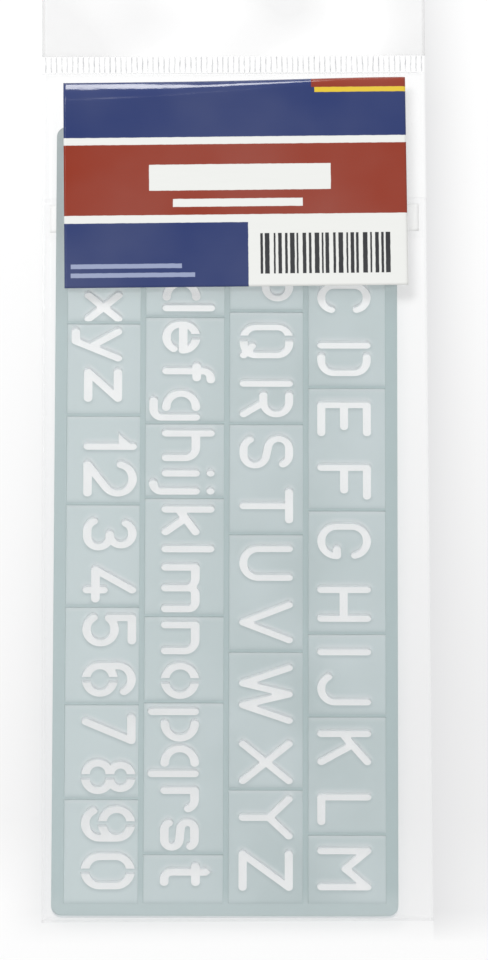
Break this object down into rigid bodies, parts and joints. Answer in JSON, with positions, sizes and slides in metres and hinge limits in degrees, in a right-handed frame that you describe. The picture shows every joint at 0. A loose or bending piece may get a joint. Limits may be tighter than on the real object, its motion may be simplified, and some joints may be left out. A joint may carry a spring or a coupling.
{
  "type": "lettering stencil in a header bag",
  "caption": "Translucent lettering stencil plate with cut capitals, small letters and numerals, lying in a clear header bag with a rear closing flap, an adhesive strip and a blank label.",
  "frame": {"origin": "middle of the bag's outline on the surface that the bag lies on", "axes": "+X across the bag to the right, +Y up the bag to its header, +Z out of the labelled front"},
  "size_m": [0.0734, 0.1998, 0.003],
  "materials": {
    "plate": "fine moulded, translucent",
    "film": "clear, glossy",
    "weld": "ribbed heat seal",
    "adhesive": "tacky, clear",
    "label": "glossy printed"
  },
  "bodies": {
    "bag": {"front_film": "film", "back_film": "film", "bottom_fold": "film", "left_side_film": "film", "right_side_film": "film", "shoulder_film": "film", "mouth_lip": "film", "top_weld": "weld", "header_film": "film", "label": "label"},
    "plate": {"stencil_plate": "plate"},
    "flap": {"closing_flap": "film", "adhesive_strip": "adhesive"}
  },
  "joints": [
    {"name": "plate_slide", "type": "slide", "parent": "bag", "child": "plate", "axis": [0, 1, 0], "range_m": [0, 0.006]},
    {"name": "flap_hinge", "type": "hinge", "parent": "bag", "child": "flap", "pos_m": [0, 0.06748, 0], "axis": [1, 0, 0], "range_deg": [0, 170]}
  ]
}
